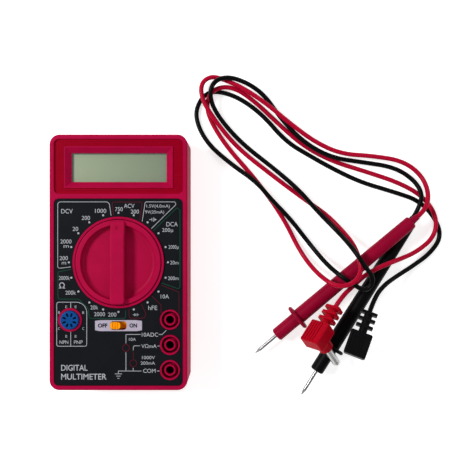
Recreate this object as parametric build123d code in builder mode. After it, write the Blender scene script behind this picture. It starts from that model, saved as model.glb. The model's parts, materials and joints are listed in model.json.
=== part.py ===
from build123d import *
import math
import os

# A hand-held digital multimeter lying on its back, with its pair of test leads beside it.
# Millimetres. Origin: centre of the bottom of the case. +X right, +Y up the face, +Z out of
# the face.

# ---------------------------------------------------------------- driving dimensions
# Case
case_width = 68.0
case_length = 126.0
face_height = 25.0          # top of the rim round the face, above the table
corner_radius = 5.0
rim_rounding = 0.8
foot_rounding = 1.6
wall = 2.0
floor_thickness = 2.0
panel_thickness = 2.0
split_height = 12.0         # where the front and rear shells meet
rim_width = 2.2             # plain border round the recessed fields
field_depth = 0.8           # the two fields lie this far below the rim
field_corner = 2.6
lip_height = 2.0            # the rear shell's lip, inside the front shell
lip_thickness = 1.0
fit_gap = 0.2               # between pieces that only sit beside each other
seat_gap = 0.1              # between an inner piece and the hole or face it sits at
back_panel_width = 44.0     # shallow plain panel in the back
back_panel_length = 40.0
back_panel_depth = 0.5
back_panel_from_bottom = 50.4
column_rise = 1.0           # the screw columns meet the front bosses this far above the split
column_wall = 0.7
rib_thickness = 1.2
rib_height = 8.0
stop_rib_length = 2.6

# Display
ridge_from_top = 29.3       # upper edge of the bar between the two fields
ridge_width = 2.2
groove_pitch = 1.05
groove_width = 0.5
groove_depth = 0.3
groove_margin = 0.6
display_from_top = 16.1     # centre of the display
display_width = 47.0
display_length = 14.3
bevel_side = 3.3
bevel_end = 3.1
frame_rise = 0.3
frame_edge = 0.5            # flat edge round the bevel
window_thickness = 1.0
glass_thickness = 1.8
backing_thickness = 0.5
glass_margin = 1.8          # glass beyond the opening on each side
holder_wall = 1.2
zebra_thickness = 1.8
zebra_inset = 2.0           # from each end of the glass
backing_gap = 0.4           # between the backing and the zebra strip

# Selector
knob_radius = 21.0
knob_gap = 0.35
knob_ring_width = 1.1
knob_ring_rise = 0.3        # above the rim
knob_flange_gap = 0.3       # under the panel
knob_rounding = 0.5
knob_rim_height = 25.9
knob_rim_land = 2.4         # flat rim round the dish
dish_rounding = 2.2
dish_floor = 22.6
grip_width = 7.3
grip_end_gap = 0.5          # from each end of the grip to the knob's edge
grip_height = 28.8
grip_rounding = 0.9
grip_corner = 1.6
grip_slope_from_end = 8.2   # the pointer end slopes down over this length
grip_end_height = 26.7
pointer_dot_radius = 0.9
pointer_dot_depth = 0.4
pointer_dot_from_end = 3.4
knob_hub_radius = 3.0
knob_flange_reach = 2.4     # beyond the knob, under the panel
knob_flange_thickness = 3.7
knob_cavity_radius = 15.5
knob_top_skin = 1.8
positions = 20
detent_ring_width = 3.0
detent_ring_gap = 1.9       # flange edge to the tips of the detent teeth
detent_depth = 1.0
detent_scallop_radius = 1.6
ball_radius = 1.4
ball_gap = 0.1
ball_seat = 0.1             # the ball's centre beyond the flange's edge
spring_wire = 0.35
spring_seat = 17.2          # from the selector's axis to the detent spring's inner end
track_radii = [5.4, 8.6, 11.8]
track_width = 2.4
track_break = 0.8
contact_spring_width = 2.0
contact_spring_legs = 2.0   # across the outsides of a spring's two legs
contact_strip = 0.3
contact_root = 1.4          # a leg's length inside the selector
contact_gap = 0.35          # above the tracks

# Board
board_height = 16.0         # upper face
board_thickness = 1.6
track_thickness = 0.1
board_side_gap = 1.5
board_leg_width = 11.0
boss_radius = 3.3
boss_pilot = 1.1
board_boss_radius = 2.3
board_pilot = 0.8
case_screw_x_from_side = 7.2
case_screw_y = 27.0
board_screw_x_from_side = 5.4
board_screw_top_y = 33.4
board_screw_low_y = -18.6
screw_hole_gap = 0.3
case_screw_shank = 1.0
case_screw_head = 2.6
case_screw_head_height = 1.6
case_screw_recess = 4.2
case_screw_length = 14.0
case_screw_cross = 3.4
case_screw_cross_width = 0.7
case_screw_cross_depth = 0.7
board_screw_shank = 0.75
board_screw_head = 1.9
board_screw_head_height = 1.1
board_screw_length = 6.0
board_screw_cross = 2.2
board_screw_cross_width = 0.5
board_screw_cross_depth = 0.5
board_hole_gap = 1.0        # board's hole beyond a case screw's boss
board_corner = 1.5

# Parts on the board
blob_below_display = 4.0
blob_radius = 7.0
blob_height = 1.8
blob_rounding = 1.6
trimmer_x = 17.0
trimmer_side = 6.4
trimmer_corner = 0.6
trimmer_height = 2.6
trimmer_dial_radius = 2.2
trimmer_dial_height = 0.8
trimmer_slot_length = 3.0
trimmer_slot_width = 0.6
trimmer_slot_depth = 0.5
resistor_radius = 1.15
resistor_length = 6.4
resistor_wire = 0.3
resistor_wire_reach = 2.5
resistor_count = 11
resistor_pitch = 4.2
resistor_from_ridge = 8.0
capacitor_x = -16.0
capacitor_count = 3
capacitor_pitch = 10.0
capacitor_from_ridge = 10.0
capacitor_width = 3.4
capacitor_length = 7.6
capacitor_height = 6.0
capacitor_corner = 1.6
shunt_offset = 3.9          # from the jacks' line
shunt_inset = 2.0
shunt_drop = 4.0
shunt_bend = 1.6
shunt_radius = 0.8
fuse_x = -8.0
fuse_above_board_edge = 5.0
fuse_radius = 2.5
fuse_length = 20.0
fuse_wall = 0.6
fuse_cap_length = 5.0
fuse_clearance = 0.6
clip_width = 3.5
clip_inset = 0.5
clip_side = 0.7
clip_height_side = 0.5
clip_gap = 0.05
clip_mouth_width = 3.5
clip_mouth_height = 4.0

# Battery, a standard nine-volt block
battery_length = 48.5
battery_width = 26.5
battery_thickness = 17.5
battery_rounding = 2.0
battery_gap = 0.2
terminal_pitch = 12.7
terminal_radius = 2.9
terminal_length = 2.6
snap_thickness = 1.0
snap_height = 6.4
snap_rounding = 3.0
snap_sleeve_gap = 0.25      # from the snap to the jack sleeves
snap_overhang = 10.0        # snap's length beyond the terminals' pitch
battery_wire_radius = 0.6
battery_wire_bend = 1.2
battery_wire_pitch = 2.6
battery_wire_land = 2.2     # from the board's edge to the first wire's pad

# Jacks
jack_bore = 2.05
jack_sleeve_wall = 0.5
jack_sleeve_depth = 17.0    # from the face to the sleeve's lower end
jack_sleeve_gap = 0.05      # sleeve's upper end below its seat
jack_top_skin = 1.6
jack_post_wall_top = 0.7
jack_post_wall_root = 0.75
jack_well_gap = 0.85
jack_ring_width = 0.75
jack_well_wall = 0.9
jack_well_floor = 1.2
jack_well_clearance = 0.3   # above the board
jack_from_side = 8.6
jack_from_bottom = 10.0
jack_pitch = 12.4

# Transistor socket
socket_radius = 4.6
socket_rise = 2.0           # above the label's field
socket_ring_width = 1.0
socket_from_side = 10.2
socket_above_board_edge = 4.8
socket_slots = 8
socket_slot_length = 1.8
socket_slot_width = 0.9
socket_slot_radius = 2.75
socket_rounding = 0.6
socket_contact_height = 6.0
socket_contact_gap = 0.05

# Power switch
slot_length = 8.2
slot_width = 4.3
button_length = 5.0
button_width = 3.5
button_rise = 1.0           # above the label's field
slide_gap = 0.15
slot_corner = 1.7
button_corner = 1.4
button_groove_pitch = 1.2
button_groove_width = 0.5
button_groove_depth = 0.4
button_grooves = 3
switch_length = 15.0
switch_width = 4.0
switch_wall = 0.7
switch_height = 5.2
switch_pin_pitch = 4.0
switch_pin_length = 1.6
switch_pin_width = 1.2
switch_pin_height = 0.3
carrier_length = 6.0
carrier_clearance = 2.2     # above the board
shutter_length = 11.0
shutter_thickness = 0.6
slider_contact_length = 5.0
slider_contact_width = 1.4
slider_contact_thickness = 0.3

# Printed label plate
label_thickness = 0.3
label_gap = 0.15

# Test leads
cable_diameter = 2.4
probe_radius = 4.0
probe_nose_radius = 3.5
probe_tail_radius = 3.4
probe_length = 91.0
probe_nose_length = 14.5
probe_rounding = 0.6
flange_radius = 6.9
flange_thickness = 1.8
tail_nub_radius = 1.9
tail_nub_taper = 0.4
tail_nub_length = 4.0
needle_radius = 0.95
needle_reach = 14.5
needle_point = 3.2
needle_tip_radius = 0.25
needle_tip_length = 0.3
needle_root = 20.0          # how far the needle is moulded into the handle
plug_length = 12.4          # along the cable
plug_width = 11.0
plug_height = 8.0
plug_rounding = 0.9
plug_grip_pitch = 1.5
plug_grip_width = 0.6
plug_grip_depth = 0.4
plug_grip_count = 5
plug_collar_radius = 3.75
plug_collar_length = 6.5
pin_radius = 1.95
pin_core_radius = 1.2
pin_reach = 13.5
pin_root = 4.0
pin_cap_length = 1.6
pin_shoulder = 0.3
pin_shoulder_length = 0.8
pin_slot_width = 0.3
pin_end_gap = 0.1
relief_length = 11.0
relief_rib = 1.5
relief_rib_pitch = 3.5
relief_rib_width = 8.6
relief_rib_height = 5.4
relief_core = 2.1
relief_rib_count = 3
relief_rib_corner = 1.0
mould_overlap = 0.5         # how far the plug's pieces of one moulding run into each other

# How the loose leads lie. Each cable is a list of points from its probe to its plug, and the
# probe and the plug follow from the cable's two ends.
red_probe_towards = (-0.758, -0.649, -0.058)
red_pin_towards = (0.471, -0.670, -0.574)
red_cable_towards = (0.549, 0.732, -0.404)
black_probe_towards = (-0.541, -0.840, 0.044)
black_pin_towards = (0.143, -0.275, -0.951)
black_cable_towards = (0.372, 0.906, -0.200)
red_route = [
    (150.9, 23, 11.8), (155.2, 26.7, 12.1), (157.5, 35.5, 9.2), (154.5, 45, 5.4), (145, 52.5, 4.3),
    (129, 55, 4.2), (113, 56, 4.2), (99.5, 62, 4.4), (86.5, 71.5, 5), (73.5, 82.5, 4.8),
    (61.5, 90.5, 4.6), (52, 95, 3.6), (45, 97, 3.6), (39.5, 93, 4.8), (40, 84.5, 5),
    (46.5, 74, 4.2), (58, 60, 1.4), (75, 46.5, 1.4), (93, 33, 1.4), (105.5, 24.5, 1.6),
    (113.5, 15.5, 6.5), (117.5, 9, 14.2), (120, 2, 17.2), (121, -5, 18.8), (116.5, -11, 20.2),
    (109, -12.5, 19.9), (102.5, -9, 16.4), (96.5, -2.5, 6.5), (90.5, 7, 1.9), (84.5, 19.5, 1.3),
    (76.5, 32, 1.3), (66, 45.5, 1.3), (53.5, 59.5, 1.3), (45, 72.5, 1.3), (42, 82, 2),
    (45.5, 90, 4.6), (56, 92, 2.2), (68, 84, 1.3), (81, 71.5, 1.3), (93.5, 60.5, 1.3),
    (108.5, 52.5, 1.3), (126.5, 47, 1.3), (144.5, 41, 1.3), (157, 33.5, 2), (163, 23, 4.5),
    (162, 12.5, 3.6), (152, 4.5, 5), (140, 0.5, 12.2), (130.5, -3, 13.6), (123.5, -7, 13.6),
    (118, -12, 13.7), (111.6, -17.8, 14.6), (107.5, -23.3, 17.6),
]
black_route = [
    (150.9, 22.9, 3.5), (153.6, 27.1, 3.3), (155.5, 35, 5.2), (151, 43, 2.8), (141, 49.5, 1.4),
    (124.5, 52, 1.5), (108, 54, 4), (94, 61.5, 4.3), (82, 74, 2.4), (73, 87.5, 1.4),
    (63, 94, 3), (53, 96, 7), (46, 93, 7.6), (44, 86, 6.6), (47.5, 77, 3),
    (60, 62.5, 1.4), (78, 48.5, 1.8), (90.5, 37.5, 4.2), (101, 25.5, 4.3), (110.5, 15.5, 7),
    (115, 9, 16.2), (118.5, 3.5, 20.4), (122.5, -2.5, 20.4), (126.5, -7.5, 19.4), (126, -12, 18.6),
    (122.5, -14.5, 17.7), (117, -11.5, 17), (111, -7.5, 16.8), (104.5, -1.5, 9.5), (96.5, 9, 2.2),
    (86.5, 22, 2.6), (76.5, 32, 4.2), (68.5, 41.5, 4.2), (55, 51, 2.4), (42, 62.5, 1.3),
    (36, 76, 1.3), (39, 85.5, 1.3), (45.5, 90, 1.3), (58, 87, 1.3), (71.5, 77.5, 1.3),
    (84, 63, 1.3), (96.5, 55.5, 1.3), (109, 48.5, 1.3), (123.5, 41.5, 1.3), (140.5, 36.5, 1.3),
    (154, 32, 1.3), (162.5, 23.5, 1.3), (166.5, 13, 1.3), (160.5, 4, 1.5), (150.5, -3, 2.6),
    (142, -7.5, 6.5), (134, -11.5, 13.5), (127.9, -16.9, 18.2), (124.6, -25, 20),
]

# ---------------------------------------------------------------- derived sizes
inner_width = case_width - 2 * wall
inner_length = case_length - 2 * wall
inner_corner = corner_radius - wall
panel_top = face_height - field_depth
panel_bottom = panel_top - panel_thickness
half_width = case_width / 2
half_length = case_length / 2

field_width = case_width - 2 * rim_width
ridge_top_y = half_length - ridge_from_top
ridge_low_y = ridge_top_y - ridge_width
field_top_y = half_length - rim_width
field_low_y = -half_length + rim_width
display_field_length = field_top_y - ridge_top_y
display_field_y = (field_top_y + ridge_top_y) / 2
label_length = ridge_low_y - field_low_y
label_y = (ridge_low_y + field_low_y) / 2
display_y = half_length - display_from_top
frame_width = display_width + 2 * bevel_side
frame_length = display_length + 2 * bevel_end
groove_count = int((display_field_length - 2 * groove_margin) / groove_pitch)

knob_opening = knob_radius + knob_gap
knob_flange_radius = knob_radius + knob_flange_reach
dish_radius = knob_radius - knob_rim_land
grip_length = 2 * (knob_radius - grip_end_gap)
knob_ring_radius = knob_opening + knob_ring_width
flange_top = panel_bottom - knob_flange_gap
flange_bottom = flange_top - knob_flange_thickness
detent_tip_radius = knob_flange_radius + detent_ring_gap
detent_ring_radius = detent_tip_radius + detent_ring_width
ball_centre_radius = knob_flange_radius + ball_seat
ball_height = (flange_top + flange_bottom) / 2
ball_places = [45.0, 225.0]

board_bottom = board_height - board_thickness
board_half_width = inner_width / 2 - board_side_gap
board_top_y = inner_length / 2 - board_side_gap
battery_low_y = -inner_length / 2 + lip_thickness + battery_gap
battery_top_y = battery_low_y + battery_width
battery_y = (battery_low_y + battery_top_y) / 2
battery_floor = floor_thickness + fit_gap
board_low_y = battery_top_y + battery_gap
board_leg_x = board_half_width - board_leg_width / 2
board_leg_low_y = -inner_length / 2 + board_side_gap

jack_x = half_width - jack_from_side
jack_low_y = -half_length + jack_from_bottom
jack_names = ["common", "volts", "ten_amp"]
jack_places = [(jack_x, jack_low_y + i * jack_pitch) for i in range(3)]
jack_sleeve_radius = jack_bore + jack_sleeve_wall
battery_right = jack_x - jack_sleeve_radius - snap_sleeve_gap - snap_thickness - terminal_length
battery_x = battery_right - battery_length / 2
jack_post_top = jack_bore + jack_post_wall_top
jack_post_root = jack_sleeve_radius + jack_post_wall_root
jack_well_radius = jack_post_root + jack_well_gap
jack_well_bottom = board_height + jack_well_clearance
jack_sleeve_top = panel_top - jack_top_skin
jack_sleeve_bottom = face_height - jack_sleeve_depth

socket_x = -half_width + socket_from_side
socket_y = board_low_y + socket_above_board_edge
switch_y = board_low_y + switch_width / 2
button_travel = slot_length - button_length - 2 * slide_gap
button_x = -button_travel / 2

case_screws = [(side * (half_width - case_screw_x_from_side), case_screw_y) for side in (-1, 1)]
board_screws = [
    (side * (half_width - board_screw_x_from_side), y)
    for side in (-1, 1)
    for y in (board_screw_top_y, board_screw_low_y)
]

back_panel_y = -half_length + back_panel_from_bottom
case_screw_seat = case_screw_recess - fit_gap / 2
column_top = split_height + column_rise - fit_gap

glass_width = display_width + 2 * glass_margin
glass_length = display_length + 2 * glass_margin
glass_bottom = panel_bottom - window_thickness - fit_gap - glass_thickness

track_gap_radius = (track_radii[0] + track_radii[-1] + track_width) / 2
track_gap_length = track_radii[-1] - track_radii[0] + track_width
blob_y = display_y - blob_below_display
resistor_height = board_bottom - resistor_radius - seat_gap
resistor_places = [
    (ridge_low_y - resistor_from_ridge - i * resistor_pitch, resistor_height) for i in range(resistor_count)
]
capacitor_places = [
    (capacitor_x, ridge_low_y - capacitor_from_ridge - i * capacitor_pitch) for i in range(capacitor_count)
]
shunt_x = jack_x + shunt_offset
shunt_low_y = jack_low_y + shunt_inset
shunt_top_y = jack_places[-1][1] - shunt_inset
shunt_bottom = board_bottom - shunt_drop
fuse_y = board_low_y + fuse_above_board_edge
fuse_z = board_bottom - fuse_radius - fuse_clearance
clip_centre = fuse_length / 2 - fuse_cap_length + clip_width / 2 + clip_inset
battery_mid_z = battery_floor + battery_thickness / 2
snap_x = battery_right + terminal_length
snap_length = terminal_pitch + snap_overhang
snap_top_y = battery_y + snap_length / 2
stop_rib_x = battery_right + battery_gap + rib_thickness / 2
rib_y = battery_top_y + battery_gap + rib_thickness / 2
carrier_bottom = board_height + carrier_clearance
carrier_top = board_height + switch_height + slide_gap
carrier_width = switch_width - 2 * switch_wall - 2 * slide_gap
button_bottom = carrier_top + shutter_thickness
button_top = panel_top + button_rise
pointer_dot_y = grip_length / 2 - pointer_dot_from_end
grip_slope = (grip_height - grip_end_height) / grip_slope_from_end
pointer_dot_bottom = grip_end_height + grip_slope * pointer_dot_from_end - pointer_dot_depth
spring_radius = ball_radius - ball_gap

os.makedirs("parts", exist_ok=True)


def save(piece, name):
    """Label a finished piece and write it."""
    piece.label = name
    export_step(piece, f"parts/{name}.step")


# ---------------------------------------------------------------- front shell
with BuildPart() as front_case:
    with BuildSketch(Plane.XY.offset(split_height)):
        RectangleRounded(case_width, case_length, corner_radius)
    extrude(amount=face_height - split_height)
    fillet(front_case.faces().sort_by(Axis.Z)[-1].edges(), rim_rounding)
    with BuildSketch(Plane.XY.offset(split_height)):
        RectangleRounded(inner_width, inner_length, inner_corner)
    extrude(amount=panel_bottom - split_height, mode=Mode.SUBTRACT)
    # The two recessed fields
    with BuildSketch(Plane.XY.offset(panel_top)):
        with Locations((0, display_field_y)):
            RectangleRounded(field_width, display_field_length, field_corner)
        with Locations((0, label_y)):
            RectangleRounded(field_width, label_length, field_corner)
    extrude(amount=field_depth, mode=Mode.SUBTRACT)
    # Fine moulded grooves across the display's field
    with BuildSketch(Plane.XY.offset(panel_top - groove_depth)):
        with Locations((0, display_field_y)):
            with GridLocations(0, groove_pitch, 1, groove_count):
                Rectangle(field_width - 2 * groove_margin, groove_width)
    extrude(amount=groove_depth, mode=Mode.SUBTRACT)
    # Bevelled frame of the display
    with BuildSketch(Plane.XY.offset(panel_bottom)):
        with Locations((0, display_y)):
            Rectangle(frame_width, frame_length)
    extrude(amount=panel_thickness + frame_rise)
    with BuildSketch(Plane.XY.offset(panel_bottom)):
        with Locations((0, display_y)):
            Rectangle(display_width, display_length)
    with BuildSketch(Plane.XY.offset(panel_top + frame_rise)):
        with Locations((0, display_y)):
            Rectangle(frame_width - 2 * frame_edge, frame_length - 2 * frame_edge)
    loft(mode=Mode.SUBTRACT)
    # Raised ring and opening for the selector
    with BuildSketch(Plane.XY.offset(panel_bottom)):
        Circle(knob_ring_radius)
    extrude(amount=face_height + knob_ring_rise - panel_bottom)
    with BuildSketch(Plane.XY.offset(panel_bottom)):
        Circle(knob_opening)
    extrude(amount=face_height + knob_ring_rise - panel_bottom, mode=Mode.SUBTRACT)
    # Detent ring inside
    with BuildSketch(Plane.XY.offset(flange_bottom)):
        Circle(detent_ring_radius)
        Circle(detent_tip_radius, mode=Mode.SUBTRACT)
        with PolarLocations(detent_tip_radius + detent_depth - detent_scallop_radius, positions):
            Circle(detent_scallop_radius, mode=Mode.SUBTRACT)
    extrude(amount=panel_bottom - flange_bottom)
    # Jack wells with their rings and centre posts
    with BuildSketch(Plane.XY.offset(jack_well_bottom)):
        with Locations(*jack_places):
            Circle(jack_well_radius + jack_well_wall)
    extrude(amount=panel_bottom - jack_well_bottom)
    with BuildSketch(Plane.XY.offset(panel_bottom)):
        with Locations(*jack_places):
            Circle(jack_well_radius + jack_ring_width)
    extrude(amount=face_height - panel_bottom)
    with BuildSketch(Plane.XY.offset(jack_well_bottom + jack_well_floor)):
        with Locations(*jack_places):
            Circle(jack_well_radius)
            Circle(jack_post_root, mode=Mode.SUBTRACT)
    extrude(amount=face_height - jack_well_bottom - jack_well_floor, mode=Mode.SUBTRACT)
    with BuildSketch(Plane.XY.offset(jack_sleeve_top)):
        with Locations(*jack_places):
            Circle(jack_well_radius)
            Circle(jack_post_top, mode=Mode.SUBTRACT)
    extrude(amount=face_height - jack_sleeve_top, mode=Mode.SUBTRACT)
    with BuildSketch(Plane.XY.offset(jack_well_bottom)):
        with Locations(*jack_places):
            Circle(jack_sleeve_radius + seat_gap)
    extrude(amount=jack_sleeve_top - jack_well_bottom, mode=Mode.SUBTRACT)
    with BuildSketch(Plane.XY.offset(jack_sleeve_top)):
        with Locations(*jack_places):
            Circle(jack_bore)
    extrude(amount=face_height - jack_sleeve_top, mode=Mode.SUBTRACT)
    # Transistor socket's ring and hole
    with BuildSketch(Plane.XY.offset(panel_bottom)):
        with Locations((socket_x, socket_y)):
            Circle(socket_radius + fit_gap + socket_ring_width)
    extrude(amount=face_height - panel_bottom)
    with BuildSketch(Plane.XY.offset(panel_bottom)):
        with Locations((socket_x, socket_y)):
            Circle(socket_radius + fit_gap)
    extrude(amount=face_height - panel_bottom, mode=Mode.SUBTRACT)
    # Slot of the power switch
    with BuildSketch(Plane.XY.offset(panel_bottom)):
        with Locations((0, switch_y)):
            RectangleRounded(slot_length, slot_width, slot_corner)
    extrude(amount=panel_thickness, mode=Mode.SUBTRACT)
    # Bosses for the case screws, which pass through the board, and for the board's screws
    with BuildSketch(Plane.XY.offset(split_height + column_rise)):
        with Locations(*case_screws):
            Circle(boss_radius)
            Circle(boss_pilot, mode=Mode.SUBTRACT)
    extrude(amount=panel_bottom - split_height - column_rise)
    with BuildSketch(Plane.XY.offset(board_height)):
        with Locations(*board_screws):
            Circle(board_boss_radius)
            Circle(board_pilot, mode=Mode.SUBTRACT)
    extrude(amount=panel_bottom - board_height)
save(front_case.part, "front_case")

# ---------------------------------------------------------------- rear shell
with BuildPart() as rear_case:
    with BuildSketch():
        RectangleRounded(case_width, case_length, corner_radius)
    extrude(amount=split_height)
    fillet(rear_case.faces().sort_by(Axis.Z)[0].edges(), foot_rounding)
    with BuildSketch(Plane.XY.offset(floor_thickness)):
        RectangleRounded(inner_width, inner_length, inner_corner)
    extrude(amount=split_height - floor_thickness, mode=Mode.SUBTRACT)
    # Lip inside the front shell
    with BuildSketch(Plane.XY.offset(floor_thickness)):
        RectangleRounded(inner_width, inner_length, inner_corner)
        RectangleRounded(
            inner_width - 2 * lip_thickness, inner_length - 2 * lip_thickness, inner_corner - lip_thickness,
            mode=Mode.SUBTRACT,
        )
    extrude(amount=split_height - floor_thickness)
    with BuildSketch(Plane.XY.offset(split_height)):
        RectangleRounded(inner_width - 2 * fit_gap, inner_length - 2 * fit_gap, inner_corner - fit_gap)
        RectangleRounded(
            inner_width - 2 * lip_thickness, inner_length - 2 * lip_thickness, inner_corner - lip_thickness,
            mode=Mode.SUBTRACT,
        )
    extrude(amount=lip_height)
    # Shallow plain panel in the back
    with BuildSketch():
        with Locations((0, back_panel_y)):
            RectangleRounded(back_panel_width, back_panel_length, field_corner)
    extrude(amount=back_panel_depth, mode=Mode.SUBTRACT)
    # Columns for the case screws, with recesses for their heads
    with BuildSketch(Plane.XY.offset(floor_thickness)):
        with Locations(*case_screws):
            Circle(boss_radius + column_wall)
    extrude(amount=column_top - floor_thickness)
    with BuildSketch():
        with Locations(*case_screws):
            Circle(case_screw_head + screw_hole_gap)
    extrude(amount=case_screw_recess, mode=Mode.SUBTRACT)
    with BuildSketch():
        with Locations(*case_screws):
            Circle(case_screw_shank + screw_hole_gap)
    extrude(amount=column_top, mode=Mode.SUBTRACT)
    # Ribs that hold the battery
    with BuildSketch(Plane.XY.offset(floor_thickness)):
        with Locations((battery_x, rib_y)):
            Rectangle(battery_length, rib_thickness)
        with Locations((stop_rib_x, battery_low_y + stop_rib_length / 2)):
            Rectangle(rib_thickness, stop_rib_length)
    extrude(amount=rib_height)
save(rear_case.part, "rear_case")

# ---------------------------------------------------------------- screws
with BuildPart() as case_screw_set:
    with BuildSketch(Plane.XY.offset(case_screw_seat - case_screw_head_height)):
        with Locations(*case_screws):
            Circle(case_screw_head)
    extrude(amount=case_screw_head_height)
    with BuildSketch(Plane.XY.offset(case_screw_seat)):
        with Locations(*case_screws):
            Circle(case_screw_shank)
    extrude(amount=case_screw_length)
    with BuildSketch(Plane.XY.offset(case_screw_seat - case_screw_head_height)):
        with Locations(*case_screws):
            Rectangle(case_screw_cross_width, case_screw_cross)
            Rectangle(case_screw_cross, case_screw_cross_width)
    extrude(amount=case_screw_cross_depth, mode=Mode.SUBTRACT)
save(case_screw_set.part, "case_screws")

with BuildPart() as board_screw_set:
    with BuildSketch(Plane.XY.offset(board_bottom - board_screw_head_height)):
        with Locations(*board_screws):
            Circle(board_screw_head)
    extrude(amount=board_screw_head_height)
    with BuildSketch(Plane.XY.offset(board_bottom)):
        with Locations(*board_screws):
            Circle(board_screw_shank)
    extrude(amount=board_screw_length)
    with BuildSketch(Plane.XY.offset(board_bottom - board_screw_head_height)):
        with Locations(*board_screws):
            Rectangle(board_screw_cross_width, board_screw_cross)
            Rectangle(board_screw_cross, board_screw_cross_width)
    extrude(amount=board_screw_cross_depth, mode=Mode.SUBTRACT)
save(board_screw_set.part, "board_screws")

# ---------------------------------------------------------------- printed label plate
with BuildPart() as face_label:
    with BuildSketch(Plane.XY.offset(panel_top)):
        with Locations((0, label_y)):
            RectangleRounded(
                field_width - 2 * label_gap, label_length - 2 * label_gap, field_corner - label_gap,
            )
        Circle(knob_ring_radius + label_gap, mode=Mode.SUBTRACT)
        with Locations(*jack_places):
            Circle(jack_well_radius + jack_ring_width + label_gap, mode=Mode.SUBTRACT)
        with Locations((socket_x, socket_y)):
            Circle(socket_radius + fit_gap + socket_ring_width + label_gap, mode=Mode.SUBTRACT)
        with Locations((0, switch_y)):
            RectangleRounded(slot_length, slot_width, slot_corner, mode=Mode.SUBTRACT)
    extrude(amount=label_thickness)
save(face_label.part, "face_label")

# ---------------------------------------------------------------- display
with BuildPart() as lcd_window:
    with BuildSketch(Plane.XY.offset(panel_bottom - window_thickness)):
        with Locations((0, display_y)):
            Rectangle(glass_width, glass_length)
    extrude(amount=window_thickness)
save(lcd_window.part, "lcd_window")

with BuildPart() as lcd_glass:
    with BuildSketch(Plane.XY.offset(glass_bottom)):
        with Locations((0, display_y)):
            Rectangle(glass_width, glass_length)
    extrude(amount=glass_thickness)
save(lcd_glass.part, "lcd_glass")

with BuildPart() as lcd_backing:
    with BuildSketch(Plane.XY.offset(glass_bottom - backing_thickness)):
        with Locations((0, display_y)):
            Rectangle(glass_width, glass_length - 2 * zebra_thickness - 2 * backing_gap)
    extrude(amount=backing_thickness)
save(lcd_backing.part, "lcd_backing")

with BuildPart() as zebra_strip:
    with BuildSketch(Plane.XY.offset(board_height)):
        with Locations((0, display_y - glass_length / 2 + zebra_thickness / 2)):
            Rectangle(glass_width - 2 * zebra_inset, zebra_thickness)
    extrude(amount=glass_bottom - board_height)
save(zebra_strip.part, "zebra_strip")

with BuildPart() as lcd_holder:
    with BuildSketch(Plane.XY.offset(board_height)):
        with Locations((0, display_y)):
            Rectangle(
                glass_width + 2 * fit_gap + 2 * holder_wall, glass_length + 2 * fit_gap + 2 * holder_wall,
            )
            Rectangle(glass_width + 2 * fit_gap, glass_length + 2 * fit_gap, mode=Mode.SUBTRACT)
    extrude(amount=glass_bottom + glass_thickness - board_height)
save(lcd_holder.part, "lcd_holder")

# ---------------------------------------------------------------- circuit board and its parts
with BuildPart() as main_board:
    with BuildSketch(Plane.XY.offset(board_bottom)):
        with Locations((0, (board_top_y + board_low_y) / 2)):
            Rectangle(2 * board_half_width, board_top_y - board_low_y)
        with Locations((board_leg_x, (board_low_y + board_leg_low_y) / 2)):
            Rectangle(board_leg_width, board_low_y - board_leg_low_y)
        with Locations(*case_screws):
            Circle(boss_radius + board_hole_gap, mode=Mode.SUBTRACT)
        with Locations(*jack_places):
            Circle(jack_sleeve_radius + seat_gap, mode=Mode.SUBTRACT)
        with Locations(*board_screws):
            Circle(board_pilot + seat_gap, mode=Mode.SUBTRACT)
    extrude(amount=board_thickness)
    corners = main_board.edges().filter_by(Axis.Z).group_by(Axis.Y)[-1]
    fillet(corners, board_corner)
save(main_board.part, "main_board")

with BuildPart() as switch_tracks:
    with BuildSketch(Plane.XY.offset(board_height)):
        for inner_radius in track_radii:
            Circle(inner_radius + track_width)
            Circle(inner_radius, mode=Mode.SUBTRACT)
        with PolarLocations(track_gap_radius, positions // 2, start_angle=180 / positions):
            Rectangle(track_gap_length, track_break, mode=Mode.SUBTRACT)
    extrude(amount=track_thickness)
save(switch_tracks.part, "switch_tracks")

with BuildPart() as chip_blob:
    with BuildSketch(Plane.XY.offset(board_bottom)):
        with Locations((0, blob_y)):
            Circle(blob_radius)
    extrude(amount=-blob_height)
    fillet(chip_blob.faces().sort_by(Axis.Z)[0].edges(), blob_rounding)
save(chip_blob.part, "chip_blob")

with BuildPart() as trimmer_pot:
    with BuildSketch(Plane.XY.offset(board_bottom)):
        with Locations((trimmer_x, blob_y)):
            RectangleRounded(trimmer_side, trimmer_side, trimmer_corner)
    extrude(amount=-trimmer_height)
    with BuildSketch(Plane.XY.offset(board_bottom - trimmer_height)):
        with Locations((trimmer_x, blob_y)):
            Circle(trimmer_dial_radius)
    extrude(amount=-trimmer_dial_height)
    with BuildSketch(Plane.XY.offset(board_bottom - trimmer_height - trimmer_dial_height)):
        with Locations((trimmer_x, blob_y)):
            Rectangle(trimmer_slot_length, trimmer_slot_width)
    extrude(amount=trimmer_slot_depth, mode=Mode.SUBTRACT)
save(trimmer_pot.part, "trimmer_pot")

with BuildPart() as resistors:
    with BuildSketch(Plane.YZ):
        with Locations(*resistor_places):
            Circle(resistor_radius)
    extrude(amount=resistor_length / 2, both=True)
    with BuildSketch(Plane.YZ):
        with Locations(*resistor_places):
            Circle(resistor_wire)
    extrude(amount=resistor_length / 2 + resistor_wire_reach, both=True)
save(resistors.part, "resistors")

with BuildPart() as capacitors:
    with BuildSketch(Plane.XY.offset(board_bottom)):
        with Locations(*capacitor_places):
            RectangleRounded(capacitor_width, capacitor_length, capacitor_corner)
    extrude(amount=-capacitor_height)
save(capacitors.part, "capacitors")

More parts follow.
